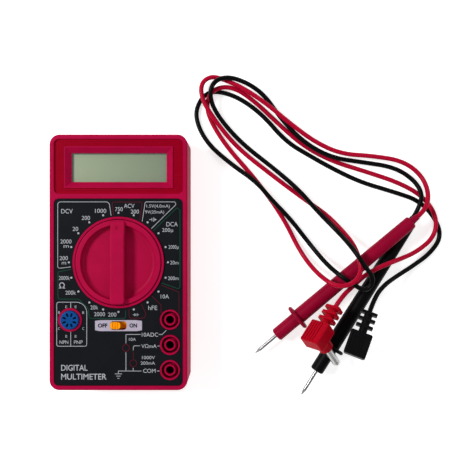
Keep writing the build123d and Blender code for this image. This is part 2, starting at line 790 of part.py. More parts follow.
with BuildPart() as shunt_wire:
    with BuildLine():
        FilletPolyline(
            (shunt_x, shunt_low_y, board_bottom),
            (shunt_x, shunt_low_y, shunt_bottom),
            (shunt_x, shunt_top_y, shunt_bottom),
            (shunt_x, shunt_top_y, board_bottom),
            radius=shunt_bend,
        )
    with BuildSketch(Plane.XY.offset(board_bottom)):
        with Locations((shunt_x, shunt_low_y)):
            Circle(shunt_radius)
    sweep()
save(shunt_wire.part, "shunt_wire")

with BuildPart() as fuse_glass:
    with BuildSketch(Plane.YZ.offset(fuse_x)):
        with Locations((fuse_y, fuse_z)):
            Circle(fuse_radius)
            Circle(fuse_radius - fuse_wall, mode=Mode.SUBTRACT)
    extrude(amount=fuse_length / 2 - fuse_cap_length, both=True)
save(fuse_glass.part, "fuse_glass")

with BuildPart() as fuse_caps:
    for side in (-1, 1):
        with BuildSketch(Plane.YZ.offset(fuse_x + side * fuse_length / 2)):
            with Locations((fuse_y, fuse_z)):
                Circle(fuse_radius)
        extrude(amount=-side * fuse_cap_length)
save(fuse_caps.part, "fuse_caps")

with BuildPart() as fuse_clips:
    for side in (-1, 1):
        with BuildSketch(Plane.YZ.offset(fuse_x + side * clip_centre)):
            with Locations((fuse_y, fuse_z)):
                Rectangle(2 * (fuse_radius + clip_side), 2 * (fuse_radius + clip_height_side))
            with Locations((fuse_y, fuse_z)):
                Circle(fuse_radius + clip_gap, mode=Mode.SUBTRACT)
            with Locations((fuse_y, fuse_z - fuse_radius)):
                Rectangle(clip_mouth_width, clip_mouth_height, mode=Mode.SUBTRACT)
        extrude(amount=clip_width / 2, both=True)
save(fuse_clips.part, "fuse_clips")

# ---------------------------------------------------------------- battery
with BuildPart() as battery_body:
    with BuildSketch(Plane.XY.offset(battery_floor)):
        with Locations((battery_x, battery_y)):
            Rectangle(battery_length, battery_width)
    extrude(amount=battery_thickness)
    fillet(battery_body.edges().filter_by(Axis.X), battery_rounding)
save(battery_body.part, "battery_body")

with BuildPart() as battery_terminals:
    with BuildSketch(Plane.YZ.offset(battery_right)):
        with Locations((battery_y, battery_mid_z)):
            with GridLocations(terminal_pitch, 0, 2, 1):
                Circle(terminal_radius)
    extrude(amount=terminal_length)
save(battery_terminals.part, "battery_terminals")

with BuildPart() as battery_snap:
    with BuildSketch(Plane.YZ.offset(snap_x)):
        with Locations((battery_y, battery_mid_z)):
            RectangleRounded(snap_length, snap_height, snap_rounding)
    extrude(amount=snap_thickness)
save(battery_snap.part, "battery_snap")

for i, name in enumerate(["battery_wire_red", "battery_wire_black"]):
    wire_x = snap_x + snap_thickness / 2
    wire_z = battery_mid_z + battery_wire_pitch / 2 - i * battery_wire_pitch
    wire_end_y = board_low_y + battery_wire_land + i * battery_wire_pitch
    with BuildPart() as battery_wire:
        with BuildLine():
            FilletPolyline(
                (wire_x, snap_top_y, wire_z),
                (wire_x, wire_end_y, wire_z),
                (wire_x, wire_end_y, board_bottom),
                radius=battery_wire_bend,
            )
        with BuildSketch(Plane.XZ.offset(-snap_top_y)):
            with Locations((wire_x, wire_z)):
                Circle(battery_wire_radius)
        sweep()
    save(battery_wire.part, name)

# ---------------------------------------------------------------- jack sleeves
for name, place in zip(jack_names, jack_places):
    with BuildPart() as jack_sleeve:
        with BuildSketch(Plane.XY.offset(jack_sleeve_bottom)):
            with Locations(place):
                Circle(jack_sleeve_radius)
                Circle(jack_bore, mode=Mode.SUBTRACT)
        extrude(amount=jack_sleeve_top - jack_sleeve_gap - jack_sleeve_bottom)
    save(jack_sleeve.part, f"jack_sleeve_{name}")

# ---------------------------------------------------------------- transistor socket
with BuildPart() as transistor_socket:
    with BuildSketch(Plane.XY.offset(board_height)):
        with Locations((socket_x, socket_y)):
            Circle(socket_radius)
    extrude(amount=panel_top + socket_rise - board_height)
    fillet(transistor_socket.faces().sort_by(Axis.Z)[-1].edges(), socket_rounding)
    with BuildSketch(Plane.XY.offset(board_height)):
        with Locations((socket_x, socket_y)):
            with PolarLocations(socket_slot_radius, socket_slots, start_angle=180 / socket_slots):
                Rectangle(socket_slot_length, socket_slot_width)
    extrude(amount=panel_top + socket_rise - board_height, mode=Mode.SUBTRACT)
save(transistor_socket.part, "transistor_socket")

with BuildPart() as socket_contacts:
    with BuildSketch(Plane.XY.offset(board_height)):
        with Locations((socket_x, socket_y)):
            with PolarLocations(socket_slot_radius, socket_slots, start_angle=180 / socket_slots):
                Rectangle(socket_slot_length - 2 * socket_contact_gap, socket_slot_width / 2)
    extrude(amount=socket_contact_height)
save(socket_contacts.part, "socket_contacts")

# ---------------------------------------------------------------- power switch
with BuildPart() as switch_housing:
    with BuildSketch(Plane.XY.offset(board_height)):
        with Locations((0, switch_y)):
            Rectangle(switch_length, switch_width)
    extrude(amount=switch_height)
    with BuildSketch(Plane.XY.offset(board_height + switch_wall)):
        with Locations((0, switch_y)):
            Rectangle(switch_length - 2 * switch_wall, switch_width - 2 * switch_wall)
    extrude(amount=switch_height, mode=Mode.SUBTRACT)
save(switch_housing.part, "switch_housing")

with BuildPart() as switch_pins:
    with BuildSketch(Plane.XY.offset(board_height + switch_wall)):
        with Locations(*[(i * switch_pin_pitch, switch_y) for i in (-1, 0, 1)]):
            Rectangle(switch_pin_length, switch_pin_width)
    extrude(amount=switch_pin_height)
save(switch_pins.part, "switch_pins")

with BuildPart() as slider_button:
    with BuildSketch(Plane.XY.offset(carrier_bottom)):
        with Locations((button_x, switch_y)):
            Rectangle(carrier_length, carrier_width)
    extrude(amount=carrier_top - carrier_bottom)
    with BuildSketch(Plane.XY.offset(carrier_top)):
        with Locations((button_x, switch_y)):
            Rectangle(shutter_length, button_width)
    extrude(amount=shutter_thickness)
    with BuildSketch(Plane.XY.offset(button_bottom)):
        with Locations((button_x, switch_y)):
            RectangleRounded(button_length, button_width, button_corner)
    extrude(amount=button_top - button_bottom)
    # Grip grooves across the button
    with BuildSketch(Plane.XY.offset(button_top - button_groove_depth)):
        with Locations((button_x, switch_y)):
            with GridLocations(button_groove_pitch, 0, button_grooves, 1):
                Rectangle(button_groove_width, button_width)
    extrude(amount=button_groove_depth, mode=Mode.SUBTRACT)
save(slider_button.part, "slider_button")

with BuildPart() as slider_contact:
    with BuildSketch(Plane.XY.offset(carrier_bottom - slider_contact_thickness)):
        with Locations((button_x, switch_y)):
            Rectangle(slider_contact_length, slider_contact_width)
    extrude(amount=slider_contact_thickness)
save(slider_contact.part, "slider_contact")

# ---------------------------------------------------------------- selector
def detent_plane(angle):
    """At a detent spring's inner end, facing outwards."""
    outwards = Vector(1, 0, 0).rotate(Axis.Z, angle)
    return Plane(origin=(0, 0, ball_height), x_dir=(0, 0, 1), z_dir=outwards).offset(spring_seat)


with BuildPart() as selector_knob:
    with BuildSketch(Plane.XY.offset(flange_bottom)):
        Circle(knob_flange_radius)
    extrude(amount=knob_flange_thickness)
    with BuildSketch(Plane.XY.offset(flange_top)):
        Circle(knob_radius)
    extrude(amount=knob_rim_height - flange_top)
    fillet(selector_knob.faces().sort_by(Axis.Z)[-1].edges(), knob_rounding)
    # Dish with a rounded foot to its wall
    with BuildSketch(Plane.XZ):
        with BuildLine():
            Polyline(
                (0, grip_height), (0, dish_floor), (dish_radius - dish_rounding, dish_floor)
            )
            RadiusArc(
                (dish_radius - dish_rounding, dish_floor),
                (dish_radius, dish_floor + dish_rounding),
                -dish_rounding,
            )
            Polyline(
                (dish_radius, dish_floor + dish_rounding), (dish_radius, grip_height),
                (0, grip_height),
            )
        make_face()
    revolve(axis=Axis.Z, mode=Mode.SUBTRACT)
    # Grip bar across the dish, with its pointer end sloping down
    with BuildSketch(Plane.XY.offset(dish_floor - fit_gap)):
        RectangleRounded(grip_width, grip_length, grip_corner)
    extrude(amount=grip_height - dish_floor + fit_gap)
    with BuildSketch(Plane.YZ):
        with BuildLine():
            Polyline(
                (grip_length / 2 - grip_slope_from_end, grip_height),
                (grip_length / 2, grip_end_height),
                (grip_length / 2, grip_height),
                close=True,
            )
        make_face()
    extrude(amount=grip_width, both=True, mode=Mode.SUBTRACT)
    grip_edges = selector_knob.edges().filter_by(lambda edge: edge.center().Z > knob_rim_height + fit_gap)
    fillet(grip_edges.filter_by(Axis.Z, reverse=True), grip_rounding)
    # Pointer dot near the end of the bar
    with BuildSketch(Plane.XY.offset(pointer_dot_bottom)):
        with Locations((0, pointer_dot_y)):
            Circle(pointer_dot_radius)
    extrude(amount=grip_height - pointer_dot_bottom, mode=Mode.SUBTRACT)
    # Cavity underneath for the contact springs, and bores for the detent springs
    with BuildSketch(Plane.XY.offset(flange_bottom)):
        Circle(knob_cavity_radius)
        Circle(knob_hub_radius, mode=Mode.SUBTRACT)
    extrude(amount=dish_floor - knob_top_skin - flange_bottom, mode=Mode.SUBTRACT)
    for angle in ball_places:
        with BuildSketch(detent_plane(angle)):
            Circle(ball_radius + ball_gap)
        extrude(amount=knob_flange_radius, mode=Mode.SUBTRACT)
save(selector_knob.part, "selector_knob")

with BuildPart() as detent_balls:
    with Locations(*[
        (
            ball_centre_radius * math.cos(math.radians(a)),
            ball_centre_radius * math.sin(math.radians(a)),
            ball_height,
        )
        for a in ball_places
    ]):
        Sphere(ball_radius)
save(detent_balls.part, "detent_balls")

with BuildPart() as detent_springs:
    for angle in ball_places:
        with BuildSketch(detent_plane(angle)):
            Circle(spring_radius)
            Circle(spring_radius - spring_wire, mode=Mode.SUBTRACT)
        extrude(amount=ball_centre_radius - ball_radius - spring_seat - ball_gap / 2)
save(detent_springs.part, "detent_springs")

spring_foot = board_height + track_thickness + contact_gap
spring_root = flange_bottom + contact_root
with BuildPart() as contact_springs:
    for radius in track_radii:
        with BuildSketch(Plane.XZ.offset(-contact_spring_width / 2)):
            with Locations((radius + track_width / 2, (spring_foot + spring_root) / 2)):
                Rectangle(contact_spring_legs, spring_root - spring_foot)
            with Locations((radius + track_width / 2, (spring_foot + contact_strip + spring_root) / 2)):
                Rectangle(
                    contact_spring_legs - 2 * contact_strip, spring_root - spring_foot - contact_strip,
                    mode=Mode.SUBTRACT,
                )
        extrude(amount=contact_spring_width)
save(contact_springs.part, "contact_springs")

# ---------------------------------------------------------------- test leads
def corner_radii(route):
    """As large an arc at each point as its two runs allow."""
    radii = []
    for before, here, after in zip(route, route[1:], route[2:]):
        run_in = Vector(here) - Vector(before)
        run_out = Vector(after) - Vector(here)
        turn = math.radians(run_in.get_angle(run_out))
        radii.append(0.45 * min(run_in.length, run_out.length) / math.tan(turn / 2))
    return radii


def probe_profile_plane(route, towards):
    """Local X runs from the cable's exit towards the needle, and local Y outwards."""
    return Plane(origin=route[0], x_dir=towards, z_dir=(towards[1], -towards[0], 0))


def plug_plane(route, pin_towards, cable_towards, along=0.0):
    """Origin at the cable's exit. Local X runs out along the cable, local Z away from the pin."""
    plane = Plane(origin=route[-1], x_dir=cable_towards, z_dir=-Vector(pin_towards))
    return plane.offset(along)


leads = [
    ("red", red_route, red_probe_towards, red_pin_towards, red_cable_towards),
    ("black", black_route, black_probe_towards, black_pin_towards, black_cable_towards),
]
nose_start = tail_nub_length + probe_length - probe_nose_length
nose_end = tail_nub_length + probe_length
plug_centre_x = -relief_length - plug_length / 2
plug_grip_y = plug_width / 2 - plug_rounding - plug_grip_pitch * plug_grip_count / 2
collar_top = -plug_height / 2
collar_bottom = collar_top - plug_collar_length
pin_end = collar_bottom - pin_reach
spring_end = pin_end + pin_cap_length + pin_end_gap

for colour, route, probe_towards, pin_towards, cable_towards in leads:
    radii = corner_radii(route)
    with BuildPart() as cable:
        with BuildLine():
            centre = FilletPolyline(*route, radius=radii)
        with BuildSketch(Plane(origin=route[0], z_dir=Vector(route[1]) - Vector(route[0]))):
            Circle(cable_diameter / 2)
        sweep()
    save(cable.part, f"{colour}_cable")
    ideal = math.pi * cable_diameter**2 / 4 * centre.length
    print(f"{colour} cable: {centre.length:.1f} mm, volume {cable.part.volume:.0f} of {ideal:.0f}")

    profile_plane = probe_profile_plane(route, probe_towards)
    probe_axis = Axis(route[0], probe_towards)
    with BuildPart() as probe_handle:
        with BuildSketch(profile_plane):
            with BuildLine():
                Polyline(
                    (0, 0), (0, tail_nub_radius - tail_nub_taper), (tail_nub_length, tail_nub_radius),
                    (tail_nub_length, probe_tail_radius - probe_rounding),
                    (tail_nub_length + probe_rounding, probe_tail_radius),
                    (nose_start - flange_thickness / 2, probe_radius),
                    (nose_start - flange_thickness / 2, flange_radius - probe_rounding),
                    (nose_start - flange_thickness / 2 + probe_rounding, flange_radius),
                    (nose_start + flange_thickness / 2 - probe_rounding, flange_radius),
                    (nose_start + flange_thickness / 2, flange_radius - probe_rounding),
                    (nose_start + flange_thickness / 2, probe_nose_radius),
                    (nose_end - probe_rounding, probe_nose_radius),
                    (nose_end, probe_nose_radius - probe_rounding),
                    (nose_end, needle_radius), (nose_end - needle_root, needle_radius),
                    (nose_end - needle_root, 0),
                    close=True,
                )
            make_face()
        revolve(axis=probe_axis)
    save(probe_handle.part, f"{colour}_probe_handle")

    with BuildPart() as probe_needle:
        with BuildSketch(profile_plane):
            with BuildLine():
                Polyline(
                    (nose_end - needle_root, 0), (nose_end - needle_root, needle_radius),
                    (nose_end + needle_reach - needle_point, needle_radius),
                    (nose_end + needle_reach - needle_tip_length, needle_tip_radius),
                    (nose_end + needle_reach, 0),
                    close=True,
                )
            make_face()
        revolve(axis=probe_axis)
    save(probe_needle.part, f"{colour}_probe_needle")

    with BuildPart() as plug_body:
        with BuildSketch(plug_plane(route, pin_towards, cable_towards, -plug_height / 2)):
            with Locations((plug_centre_x, 0)):
                Rectangle(plug_length, plug_width)
        extrude(amount=plug_height)
        fillet(plug_body.edges(), plug_rounding)
        with BuildSketch(plug_plane(route, pin_towards, cable_towards, plug_height / 2 - plug_grip_depth)):
            with Locations((plug_centre_x, plug_grip_y)):
                with GridLocations(0, plug_grip_pitch, 1, plug_grip_count):
                    Rectangle(plug_length, plug_grip_width)
        extrude(amount=plug_grip_depth, mode=Mode.SUBTRACT)
        with BuildSketch(plug_plane(route, pin_towards, cable_towards, collar_bottom)):
            with Locations((plug_centre_x, 0)):
                Circle(plug_collar_radius)
        extrude(amount=plug_collar_length + mould_overlap)
        with BuildSketch(plug_plane(route, pin_towards, cable_towards, collar_bottom)):
            with Locations((plug_centre_x, 0)):
                Circle(pin_core_radius)
        extrude(amount=pin_root, mode=Mode.SUBTRACT)
        # Ribbed strain relief
        across = Vector(pin_towards).cross(Vector(cable_towards))
        relief_end = Plane(origin=route[-1], x_dir=across, z_dir=-Vector(cable_towards))
        with BuildSketch(relief_end):
            Circle(relief_core)
        extrude(amount=relief_length + mould_overlap)
        for i in range(relief_rib_count):
            with BuildSketch(relief_end.offset(i * relief_rib_pitch)):
                RectangleRounded(relief_rib_width, relief_rib_height, relief_rib_corner)
            extrude(amount=relief_rib)
    save(plug_body.part, f"{colour}_plug_body")

    with BuildPart() as plug_pin:
        with BuildSketch(plug_plane(route, pin_towards, cable_towards, pin_end)):
            with Locations((plug_centre_x, 0)):
                Circle(pin_core_radius)
        extrude(amount=pin_reach + pin_root)
        with BuildSketch(plug_plane(route, pin_towards, cable_towards, pin_end)):
            with Locations((plug_centre_x, 0)):
                Circle(pin_radius)
        extrude(amount=pin_cap_length)
        with BuildSketch(plug_plane(route, pin_towards, cable_towards, collar_bottom)):
            with Locations((plug_centre_x, 0)):
                Circle(pin_radius + pin_shoulder)
        extrude(amount=-pin_shoulder_length)
    save(plug_pin.part, f"{colour}_plug_pin")

    with BuildPart() as pin_spring:
        with BuildSketch(plug_plane(route, pin_towards, cable_towards, spring_end)):
            with Locations((plug_centre_x, 0)):
                Circle(pin_radius)
                Circle(pin_core_radius + seat_gap, mode=Mode.SUBTRACT)
                Rectangle(2 * pin_radius, pin_slot_width, mode=Mode.SUBTRACT)
        extrude(amount=pin_reach - pin_cap_length - pin_shoulder_length - 2 * pin_end_gap)
    save(pin_spring.part, f"{colour}_pin_spring")
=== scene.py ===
import json
import math

import bmesh
import bpy
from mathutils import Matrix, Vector


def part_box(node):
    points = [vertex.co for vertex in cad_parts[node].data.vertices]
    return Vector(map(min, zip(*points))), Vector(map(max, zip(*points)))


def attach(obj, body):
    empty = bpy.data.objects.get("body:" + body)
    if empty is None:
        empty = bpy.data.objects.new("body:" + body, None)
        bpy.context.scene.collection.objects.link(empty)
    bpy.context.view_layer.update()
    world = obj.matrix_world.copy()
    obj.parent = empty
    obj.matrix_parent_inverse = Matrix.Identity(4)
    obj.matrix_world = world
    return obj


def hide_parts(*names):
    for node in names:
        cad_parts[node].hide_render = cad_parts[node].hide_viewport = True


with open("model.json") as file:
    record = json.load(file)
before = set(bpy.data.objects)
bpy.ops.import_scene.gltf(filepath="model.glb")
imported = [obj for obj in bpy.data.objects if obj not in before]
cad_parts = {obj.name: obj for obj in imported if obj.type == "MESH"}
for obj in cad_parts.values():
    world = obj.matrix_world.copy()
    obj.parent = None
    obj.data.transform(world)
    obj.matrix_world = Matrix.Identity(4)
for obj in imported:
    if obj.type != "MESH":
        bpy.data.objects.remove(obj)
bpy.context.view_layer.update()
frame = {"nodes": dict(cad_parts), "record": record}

MM = 0.001


def srgb(code):
    """A linear colour from a six-figure web colour."""
    values = [int(code[i:i + 2], 16) / 255 for i in (0, 2, 4)]
    return tuple(v / 12.92 if v <= 0.04045 else ((v + 0.055) / 1.055) ** 2.4 for v in values)


# ---------------------------------------------------------------- camera, light and floor
scene = bpy.context.scene
scene.view_settings.view_transform = "Standard"
scene.view_settings.look = "None"
scene.view_settings.exposure = 0.0
scene.view_settings.gamma = 1.0

camera_data = bpy.data.cameras.new("camera")
camera_data.sensor_width = 36.0
camera_data.lens = 49.5
camera_data.clip_start = 0.01
camera_data.clip_end = 20.0
camera = bpy.data.objects.new("camera", camera_data)
camera.location = (0.0584, 0.0125, 0.3455)
scene.collection.objects.link(camera)
scene.camera = camera


def area_light(name, place, target, size, watts):
    """A soft box at place, facing target."""
    data = bpy.data.lights.new(name, "AREA")
    data.shape = "DISK"
    data.size = size
    data.energy = watts
    light = bpy.data.objects.new(name, data)
    light.location = place
    light.rotation_euler = (Vector(target) - Vector(place)).to_track_quat("-Z", "Y").to_euler()
    scene.collection.objects.link(light)


middle = (0.06, 0.01, 0.01)
area_light("key", (-0.56, 0.2, 0.72), middle, 0.26, 6.6)
area_light("side", (0.85, 0.15, 0.65), middle, 0.6, 1.3)
area_light("low", (0.05, -0.85, 0.6), middle, 0.6, 1.6)
area_light("high", (0.25, 0.9, 0.7), middle, 0.6, 2.2)

world = bpy.data.worlds.new("studio")
world.use_nodes = True
world.node_tree.nodes["Background"].inputs["Color"].default_value = (1.0, 1.0, 1.0, 1.0)
world.node_tree.nodes["Background"].inputs["Strength"].default_value = 0.24
scene.world = world


# ---------------------------------------------------------------- materials
def feed(tree, socket, value):
    """Links another node's output to a socket, or sets the socket's own value."""
    if isinstance(value, bpy.types.NodeSocket):
        tree.links.new(value, socket)
    else:
        socket.default_value = value


def link_nodes(tree, kind, settings=(), **inputs):
    """Adds a node, sets its fields, and sets or links its inputs."""
    node = tree.nodes.new(kind)
    for field, value in settings:
        setattr(node, field, value)
    for key, value in inputs.items():
        feed(tree, node.inputs[key], value)
    return node


def object_place(tree):
    """The surface's own place, in metres."""
    return link_nodes(tree, "ShaderNodeTexCoord").outputs["Object"]


def noise(tree, size_mm, detail=2.0):
    """Noise whose features are about size_mm across."""
    texture = link_nodes(
        tree, "ShaderNodeTexNoise", Vector=object_place(tree), Scale=1.0 / (size_mm * MM), Detail=detail,
    )
    return texture.outputs["Fac"]


# Places of the colour sockets on Blender's Mix node, whose names repeat for each kind of data
MIX_FACTOR, MIX_LOW, MIX_HIGH, MIX_RESULT = 0, 6, 7, 2


def mixed(tree, factor, low, high):
    """A colour between low and high."""
    node = link_nodes(tree, "ShaderNodeMix", [("data_type", "RGBA")])
    feed(tree, node.inputs[MIX_FACTOR], factor)
    for socket, colour in ((node.inputs[MIX_LOW], low), (node.inputs[MIX_HIGH], high)):
        feed(tree, socket, colour if isinstance(colour, bpy.types.NodeSocket) else (*colour, 1.0))
    return node.outputs[MIX_RESULT]


def arithmetic(tree, operation, *values):
    """One step of sums on values or sockets."""
    node = link_nodes(tree, "ShaderNodeMath", [("operation", operation)])
    for socket, value in zip(node.inputs, values):
        feed(tree, socket, value)
    return node.outputs[0]


def spread(tree, value, low, high, from_low=0.3, from_high=0.7):
    """Maps a noise's usual range to low and high."""
    node = link_nodes(tree, "ShaderNodeMapRange", Value=value)
    limits = {"From Min": from_low, "From Max": from_high, "To Min": low, "To Max": high}
    for name, number in limits.items():
        feed(tree, node.inputs[name], number)
    return node.outputs[0]


GLOSS_SPREAD = 0.05     # how far the grain moves the roughness either way
LOW_SPECULAR = 0.07     # moulded plastics of this kind shine little
GRAIN_STRENGTH = 0.6


def surface(name, colour, rough, tint=0.06, mottle=7.0, grain=0.22, depth=0.012, **shader):
    """A moulded or metal surface: colour mottled by tint, with a fine grain in its gloss and relief.

    mottle, grain and depth are in millimetres. Further words set the shader's own sockets.
    """
    material = bpy.data.materials.new(name)
    material.use_nodes = True
    tree = material.node_tree
    principled = tree.nodes["Principled BSDF"]
    low = tuple(max(0.0, c * (1 - tint)) for c in colour)
    high = tuple(min(1.0, c * (1 + tint)) for c in colour)
    patches = spread(tree, noise(tree, mottle, 3.0), 0.0, 1.0)
    tree.links.new(mixed(tree, patches, low, high), principled.inputs["Base Color"])
    fine = noise(tree, grain, 2.0)
    gloss = spread(tree, fine, rough - GLOSS_SPREAD, rough + GLOSS_SPREAD)
    tree.links.new(gloss, principled.inputs["Roughness"])
    bump = link_nodes(tree, "ShaderNodeBump", Height=fine, Strength=GRAIN_STRENGTH, Distance=depth * MM)
    tree.links.new(bump.outputs["Normal"], principled.inputs["Normal"])
    principled.inputs["Specular IOR Level"].default_value = LOW_SPECULAR
    for socket, value in shader.items():
        principled.inputs[socket.replace("_", " ")].default_value = value
    return material


def recolour(material, factory):
    """Replaces what feeds the base colour by factory(tree, old colour)."""
    tree = material.node_tree
    base = tree.nodes["Principled BSDF"].inputs["Base Color"]
    old = base.links[0].from_socket
    tree.links.new(factory(tree, old), base)
    return material


def axis_value(tree, axis):
    """The surface's x, y or z (0, 1 or 2), in metres."""
    node = link_nodes(tree, "ShaderNodeSeparateXYZ", Vector=object_place(tree))
    return node.outputs[axis]


def bands(tree, axis, pitch_mm, share):
    """1 on stripes across an axis, else 0."""
    turns = arithmetic(tree, "DIVIDE", axis_value(tree, axis), pitch_mm * MM)
    return arithmetic(tree, "LESS_THAN", arithmetic(tree, "FRACT", turns), share)


RED = srgb("A80A3C")
# Painted shade: the grooved field is drawn in this darker red for the shade in its grooves; it is the rims'
# own plastic.
GROOVE_SHADE_RED = srgb("98001F")
label_low, label_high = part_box("face_label")
glass_low, glass_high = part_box("lcd_glass")
display_field_low = label_high.y + 2.4 * MM     # the grooved field's lower edge
field_level = label_low.z + 0.15 * MM           # just above the field's floor, below the rims' tops
FIELD_DEPTH = 0.9 * MM
FRAME_PAST_GLASS = Vector((1.5, 1.3, 0)) * MM
# Half width of the painted light across the display, from lighter at the left to darker at the right.
LIGHT_FALLOFF_HALF_WIDTH = 23 * MM
# Width of the display's painted shadow, a dark band where the frame shades the glass, at the glass's left and
# lower edges, and at its right and upper ones.
# The case covers 1.8 mm of the glass all round, so the painted shadow shows only at the left and the top.
PAINTED_SHADOW_FROM_LOW = Vector((2.3, 1.2, 0)) * MM
PAINTED_SHADOW_FROM_HIGH = Vector((1.2, 2.3, 0)) * MM


def inside_box(tree, low, high):
    """1 where x and y lie between two corners, else 0."""
    result = 1.0
    for axis in (0, 1):
        value = axis_value(tree, axis)
        for operation, limit in (("GREATER_THAN", low[axis]), ("LESS_THAN", high[axis])):
            result = arithmetic(tree, "MULTIPLY", result, arithmetic(tree, operation, value, limit))
    return result


def ribbed_field_painted_shade(tree, old):
    """Paints the grooved field round the display's frame a deeper red than the rims: painted shade for its
    grooves, on the same plastic as the rims.
    """
    above = arithmetic(tree, "GREATER_THAN", axis_value(tree, 1), display_field_low)
    below = arithmetic(tree, "LESS_THAN", axis_value(tree, 2), field_level)
    inside = arithmetic(tree, "GREATER_THAN", axis_value(tree, 2), field_level - FIELD_DEPTH)
    groove_shade_mask = arithmetic(tree, "MULTIPLY", arithmetic(tree, "MULTIPLY", above, below), inside)
    framed = inside_box(tree, glass_low - FRAME_PAST_GLASS, glass_high + FRAME_PAST_GLASS)
    groove_shade_mask = arithmetic(tree, "MULTIPLY", groove_shade_mask, arithmetic(tree, "SUBTRACT", 1.0, framed))
    return mixed(tree, groove_shade_mask, old, GROOVE_SHADE_RED)


def display_painted_light(tree, old):
    """The display's film with painted light and shade: lighter at its left, where the lamp is, and a painted
    shadow along its edges.
    """
    share = spread(tree, axis_value(tree, 0), 0.0, 1.0, -LIGHT_FALLOFF_HALF_WIDTH, LIGHT_FALLOFF_HALF_WIDTH)
    # Painted light: the film is lighter at the left and darker towards the right, as the light falls.
    film_with_painted_light = mixed(tree, share, srgb("8B9A78"), srgb("667657"))
    unshadowed = inside_box(tree, glass_low + PAINTED_SHADOW_FROM_LOW, glass_high - PAINTED_SHADOW_FROM_HIGH)
    # Painted shadow: a dark band along the glass's edges, where the frame shades the display.
    return mixed(tree, unshadowed, srgb("262B24"), film_with_painted_light)


def board_pattern(tree, old):
    """Copper runs under the green resist."""
    cells = link_nodes(
        tree, "ShaderNodeTexBrick", [("offset", 0.35)], Vector=object_place(tree), Scale=180.0,
        Color1=(0.0, 0.0, 0.0, 1.0), Color2=(0.3, 0.3, 0.3, 1.0), Mortar=(1.0, 1.0, 1.0, 1.0),
    )
    cells.inputs["Mortar Size"].default_value = 0.06
    return mixed(tree, cells.outputs["Fac"], old, (0.05, 0.33, 0.12))


def resistor_bands(tree, old):
    """Dark bands across each resistor."""
    return mixed(tree, bands(tree, 0, 1.3, 0.35), old, (0.12, 0.03, 0.01))


def battery_print(tree, old):
    """A plain light band round the battery's terminal end."""
    band_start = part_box("battery_body")[1].x - 14 * MM
    end = arithmetic(tree, "GREATER_THAN", axis_value(tree, 0), band_start)
    return mixed(tree, end, old, (0.55, 0.24, 0.06))


def zebra_lines(tree, old):
    """The strip's fine conducting lines."""
    return mixed(tree, bands(tree, 0, 0.5, 0.5), old, (0.05, 0.05, 0.05))


